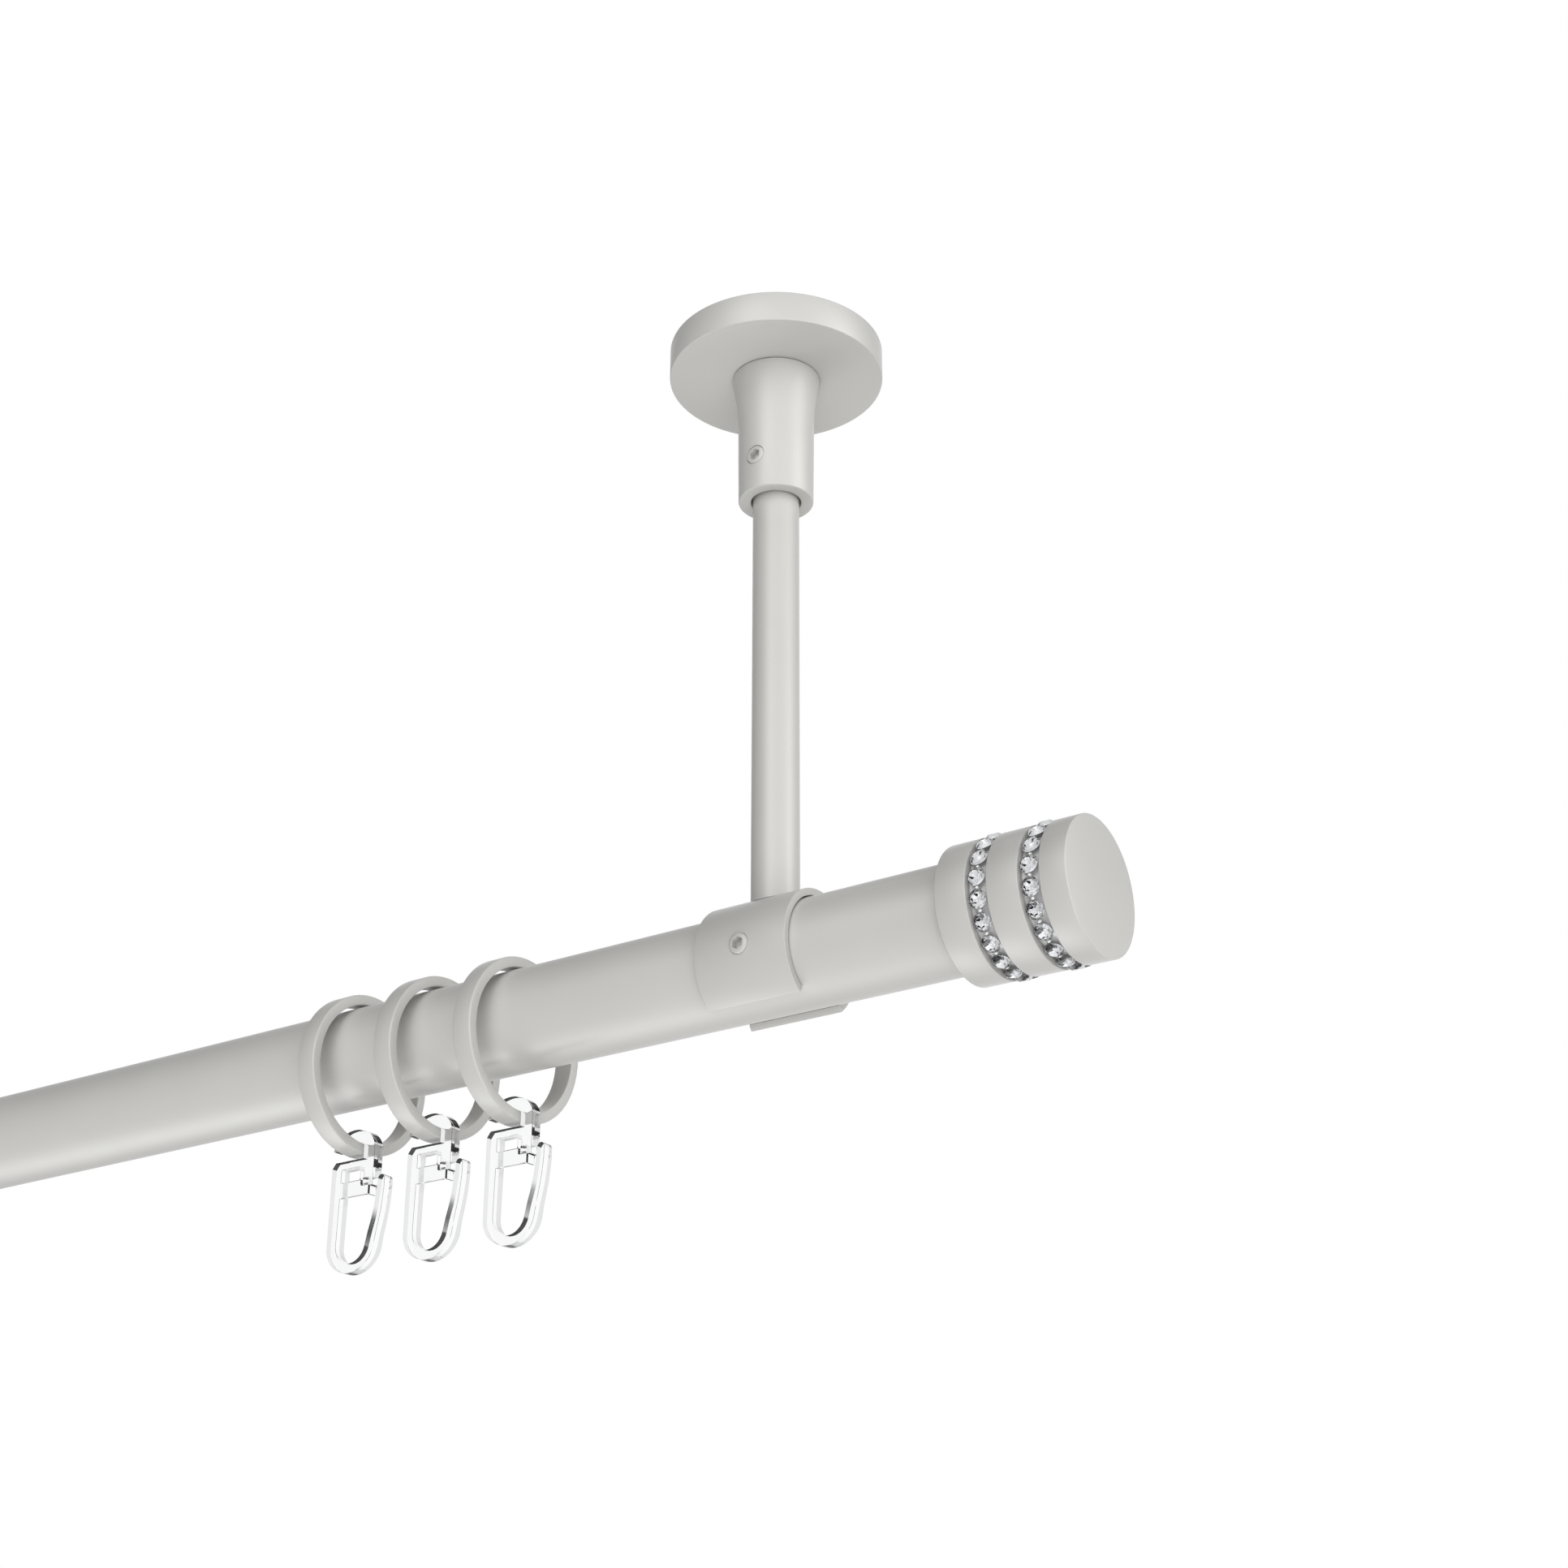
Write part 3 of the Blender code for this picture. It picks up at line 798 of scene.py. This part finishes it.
deselect()
bpy.ops.mesh.primitive_uv_sphere_add(segments=12, ring_count=8, radius=BEAD_RADIUS)
bead = bpy.context.object
smooth(bead, 60)

row_places = {
    "inner": finial_back + BAND + GROOVE / 2,
    "outer": finial_back + 2 * BAND + 1.5 * GROOVE,
}
for row_name, row_x in row_places.items():
    label = "right_" + row_name
    cad_row = "right_crystal_row_" + row_name
    stones = ring_of(stone, label + "_stones", row_x, SEAT, FIRST_STONE, TWIST)
    first_bead = FIRST_STONE + math.pi / STONES
    beads = ring_of(bead, label + "_beads", row_x, BEAD_SEAT, first_bead, 0)
    strip_profile = [
        (STRIP_RADIUS, -STRIP_HALF), (STRIP_RADIUS, STRIP_HALF),
        (STRIP_BORE, STRIP_HALF), (STRIP_BORE, -STRIP_HALF),
    ]
    strip = turn(label + "_cup_strip", strip_profile, sides=MEDIUM_SIDES, closed=True)
    place(strip, (row_x, 0, rod_axis), "X")
    smooth(strip)
    for made, material in ((stones, None), (beads, bead_silver), (strip, strip_silver)):
        left = copy_of(made, made.name.replace("right", "left"), mirror=True)
        for piece, side in ((made, "right"), (left, "left")):
            cad_name = cad_row.replace("right", side)
            finish(piece, material, side + "_finial", cad_name)
    print("%s row: %d stones at %.1f mm" % (row_name, STONES, row_x / MM))
bpy.data.objects.remove(stone)
bpy.data.objects.remove(bead)

# %% [markdown]
# ## Rings
#
# A curtain ring is a flat band bent round and closed: taller than it is thick, with a fine break on each
# edge. It hangs on the top of the tube, so its centre sits a little below the tube's own.

# %% Rings
RING_BORE = 14.25 * MM
RING_EDGE = 0.25 * MM
ring_radius = half("right_ring_1").z
ring_half = half("right_ring_1").x
ring_axis = middle("right_ring_1").z
ring_profile = [
    (ring_radius, -ring_half), (ring_radius, ring_half),
    (RING_BORE, ring_half), (RING_BORE, -ring_half),
]
first_ring = turn("ring", ring_profile, sides=FINE_SIDES, closed=True)
soften(first_ring, RING_EDGE)
place(first_ring, (0, 0, ring_axis), "X")
smooth(first_ring)
for side in ("left", "right"):
    for number in ("1", "2", "3"):
        cad_name = side + "_ring_" + number
        ring = copy_of(first_ring, cad_name + "_band", (middle(cad_name).x, 0, 0))
        finish(ring, paint, cad_name, cad_name)
bpy.data.objects.remove(first_ring)
print("rings: %.1f mm across, %.1f mm wide" % (2 * ring_radius / MM, 2 * ring_half / MM))

# %% [markdown]
# ## Clear hooks
#
# Each hook is one flat moulding: an eye that snaps over the ring, a small frame below it with a window,
# and a J whose open tip takes the curtain tape. A flat curve gives the outline, with its edges just
# broken, and is made a mesh. The crossbar is thinner than the rest, and an L-shaped slit beside the
# window lets the eye spring open, so boxes are cut out of the moulding for them.

# %% Hook outline
# The sizes in this cell are in millimetres from the ring's centre.
hook_half = half("right_hook_1").y
HOOK_EDGE = 0.04 * MM
EYE_HALF = 2.8
EYE_TOP = -13.95
SNAP_END = -15.0
BAR_TOP = -17.4
BAR_LOW = -19.0
CROSS_TOP = -21.7
CROSS_LOW = -24.8
LATCH_END = -23.1
LEFT_SIDE = -5.4
RIGHT_SIDE = 5.7
LATCH_SIDE = 4.65
SHOULDER = -15.7
WINDOW_LEFT = -2.8
WINDOW_RIGHT = 2.2
BEND = (0.9, -34.3)
TIP = (7.96, -22.4)


def arc(centre, radii, start, end, count):
    """Points on an ellipse, between two angles in degrees."""
    x, z = centre
    angles = [math.radians(start + (end - start) * i / count) for i in range(count + 1)]
    return [(x + radii[0] * math.cos(a), z + radii[1] * math.sin(a)) for a in angles]


def hook_outlines():
    """The hook's edge and its window, in millimetres from the ring's centre."""
    middle_x = (LEFT_SIDE + RIGHT_SIDE) / 2
    edge = arc((middle_x, SHOULDER), ((RIGHT_SIDE - LEFT_SIDE) / 2, 4.4), 0, 171, 38)
    edge += [(-EYE_HALF, SNAP_END)] + arc((0, EYE_TOP - 0.9), (EYE_HALF, 0.9), 180, 0, 16)
    edge += [(EYE_HALF, BAR_TOP), (-4.5, BAR_TOP), (LEFT_SIDE, -18.5)]
    edge += arc(BEND, (6.3, 5.7), 180, 350, 48)
    edge += [(7.45, -33.0), (8.0, -30.5), (8.4, -28.4), (8.68, -26.2), (8.85, -24.0)]
    edge += arc(TIP, (0.88, 1.0), -10, 190, 14)
    edge += [(6.9, -24.6), (6.5, -27.6), (6.0, -30.0), (5.3, -32.4)]
    edge += arc(BEND, (3.85, 3.8), 350, 180, 40)
    edge += [(-2.9, -30.0), (-EYE_HALF, CROSS_LOW), (LATCH_SIDE, CROSS_LOW)]
    edge += [(LATCH_SIDE, LATCH_END), (RIGHT_SIDE, LATCH_END)]
    window = [
        (WINDOW_LEFT, BAR_LOW), (WINDOW_RIGHT, BAR_LOW),
        (WINDOW_RIGHT, CROSS_TOP), (WINDOW_LEFT, CROSS_TOP),
    ]
    return [edge, window]


# %% One hook
hook_curve = bpy.data.curves.new("hook_outline", "CURVE")
hook_curve.dimensions = "2D"
hook_curve.fill_mode = "BOTH"
hook_curve.extrude = hook_half - HOOK_EDGE
hook_curve.bevel_depth = HOOK_EDGE
hook_curve.bevel_resolution = 0
hook_curve.offset = -HOOK_EDGE
for outline in hook_outlines():
    spline = hook_curve.splines.new("POLY")
    spline.points.add(len(outline) - 1)
    for point, (x, z) in zip(spline.points, outline):
        point.co = (x * MM, z * MM, 0, 1)
    spline.use_cyclic_u = True
hook = bpy.data.objects.new("hook", hook_curve)
bpy.context.scene.collection.objects.link(hook)
activate(hook)
bpy.ops.object.convert(target="MESH")
hook = bpy.context.object
hook.rotation_euler = (math.pi / 2, 0, 0)
settle(hook)
bpy.ops.object.mode_set(mode="EDIT")
bpy.ops.mesh.select_all(action="SELECT")
bpy.ops.mesh.remove_doubles(threshold=WELD)
face_outwards()


def cut_box(piece, low, high):
    """Cut a box out of a piece, between two corners in millimetres."""
    size = [(b - a) * MM for a, b in zip(low, high)]
    centre = [(a + b) / 2 * MM for a, b in zip(low, high)]
    deselect()
    bpy.ops.mesh.primitive_cube_add(size=1, location=centre, scale=size)
    tool = bpy.context.object
    settle(tool)
    cut(piece, tool)


CROSS_BACK = -0.5        # the crossbar is cut away behind this
SLIT_DEPTH = 0.9
SLIT_LEFT = 2.5
half_mm = hook_half / MM
front = -half_mm - 1
slit_floor = SLIT_DEPTH - half_mm
cut_box(hook, (WINDOW_LEFT, CROSS_BACK, CROSS_LOW - 1), (4.3, half_mm + 1, CROSS_TOP + 0.4))
cut_box(hook, (SLIT_LEFT, front, -22.7), (3.1, slit_floor, -19.9))
cut_box(hook, (SLIT_LEFT, front, -22.9), (4.5, slit_floor, -22.6))
smooth(hook, 20)
place(hook, (0, 0, ring_axis))
print("hook faces:", len(hook.data.polygons))
for side in ("left", "right"):
    for number in ("1", "2", "3"):
        cad_name = side + "_hook_" + number
        ring_name = side + "_ring_" + number
        clip = copy_of(hook, cad_name + "_clip", (middle(ring_name).x, 0, 0))
        finish(clip, clear, cad_name, cad_name)
bpy.data.objects.remove(hook)

# %% [markdown]
# ## Stage, light and camera
#
# The floor is a pale plane well below. Only the camera sees it, and it shines a little, so it lights
# nothing and shows in no reflection. There are no lamps. All light comes from the world, which is nearly
# dark except for seven soft lobes that stand for softboxes and bright walls. What the camera sees of the
# world is white. A ray that goes straight through the clear plastic meets white too. One that has also been
# reflected on the way meets a light room that is dark low down on the far side, and this draws the dark
# lines in the hooks. The camera stands below the rod beyond its right end and looks up along it.

# %% Stage
FLOOR_HEIGHT = -0.9
FLOOR_SIZE = 14.0
FLOOR_GLOW = 0.34
FLOOR_TONES = ((0.80, 0.80, 0.79, 1), (0.84, 0.84, 0.83, 1))
deselect()
bpy.ops.mesh.primitive_plane_add(size=FLOOR_SIZE, location=(0, 0, FLOOR_HEIGHT))
floor = bpy.context.object
floor.name = "floor"
floor_paint, floor_tree, floor_shader = new_material("pale_floor")
floor_tone = noise(floor_tree, object_place(floor_tree), 3.0)
feed(floor_tree, mix_colour(floor_tree, floor_tone, *FLOOR_TONES), floor_shader, "Base Color")
floor_shader.inputs["Roughness"].default_value = 0.8
floor_shader.inputs["Emission Color"].default_value = (1.0, 1.0, 0.99, 1)
floor_shader.inputs["Emission Strength"].default_value = FLOOR_GLOW
floor.data.materials.append(floor_paint)
floor.visible_glossy = False
floor.visible_diffuse = False
floor.visible_transmission = False
floor.visible_shadow = False

# %% Light
scene = bpy.context.scene
scene.view_settings.view_transform = "Standard"
scene.view_settings.look = "None"
SOFTBOXES = (                       # direction, sharpness, brightness
    ((0.95, 0.22, 0.23), 16.0, 4.7),     # behind on the right
    ((0.37, -0.44, -0.82), 16.0, 3.9),   # under the front
    ((0.09, -0.90, 0.43), 16.0, 3.6),    # in front, high
    ((-0.55, 0.07, -0.83), 16.0, 3.9),   # under the left
    ((0.68, -0.73, -0.09), 6.0, 1.45),   # a large one low on the right
    ((-0.51, 0.75, 0.41), 6.0, 1.10),    # the wall beyond the rod
    ((0.10, 0.95, -0.28), 5.0, 0.85),    # the bright room behind
)
ROOM_GLOW = 0.02
WALL_LIGHT = 0.86
WALL_DARK = 0.03
NEAR_WALL = 0.78
NEAR_SHARE = 0.2         # how much of the softboxes shows on the near side
world = bpy.data.worlds.new("soft_studio")
scene.world = world
world.use_nodes = True
sky = world.node_tree
looking = node(sky, "ShaderNodeTexCoord", output="Generated")


def along(direction):
    """How far a ray looks along a direction, from -1 to 1."""
    inputs = (looking, Vector(direction).normalized())
    return node(sky, "ShaderNodeVectorMath", {"operation": "DOT_PRODUCT"}, inputs, output="Value")


def step(value, low, high, start=0.0, end=1.0):
    """A soft step from one level to another."""
    inputs = (value, low, high, start, end)
    return node(sky, "ShaderNodeMapRange", {"interpolation_type": "SMOOTHSTEP"}, inputs)


def blend(amount, first, second):
    return (1.0 - amount) * first + amount * second


def ray(kind):
    """What the ray is or has done, as the Light Path node tells it."""
    return node(sky, "ShaderNodeLightPath", output=kind)


softboxes = ROOM_GLOW
for direction, sharpness, brightness in SOFTBOXES:
    softboxes = softboxes + brightness * (sharpness * (along(direction) - 1.0)).exp()
up = along((0, 0, 1))
away = along((0, 1, 0))
below = step(up, -0.14, 0.02, 1.0, 0.0) * step(away, 0.0, 0.3)
near = step(away, -0.3, 0.0, 1.0, 0.0)
wall = blend(near, WALL_LIGHT, NEAR_WALL + NEAR_SHARE * softboxes)
turned_back = blend(below, wall, WALL_DARK)
reflections = ray("Glossy Depth")
bounced = reflections.math("MINIMUM", reflections, 1.0)
through = blend(bounced, 1.0, turned_back)
lit = blend(ray("Is Transmission Ray"), softboxes, through)
level = blend(ray("Is Camera Ray"), lit, 1.0)
background = sky.nodes["Background"]
background.inputs["Color"].default_value = (1.0, 1.0, 1.0, 1)
feed(sky, level, background, "Strength")
print("world:", len(SOFTBOXES), "soft lobes,", len(sky.nodes), "nodes")

# %% Camera
CAMERA_OFFSET = Vector((0.23592, -0.34574, -0.15330))
LENS = 56.47
TURN_LEFT = 34.094
LOOK_UP = 24.255
camera_data = bpy.data.cameras.new("camera")
camera_data.lens = LENS
camera_data.sensor_width = 36.0
camera_data.clip_start = 0.01
camera = bpy.data.objects.new("camera", camera_data)
scene.collection.objects.link(camera)
camera.location = Vector((bracket_x, 0, rod_axis)) + CAMERA_OFFSET
camera.rotation_euler = (math.radians(90 + LOOK_UP), 0, math.radians(TURN_LEFT))
scene.camera = camera
print("camera at", [round(v, 3) for v in camera.location])
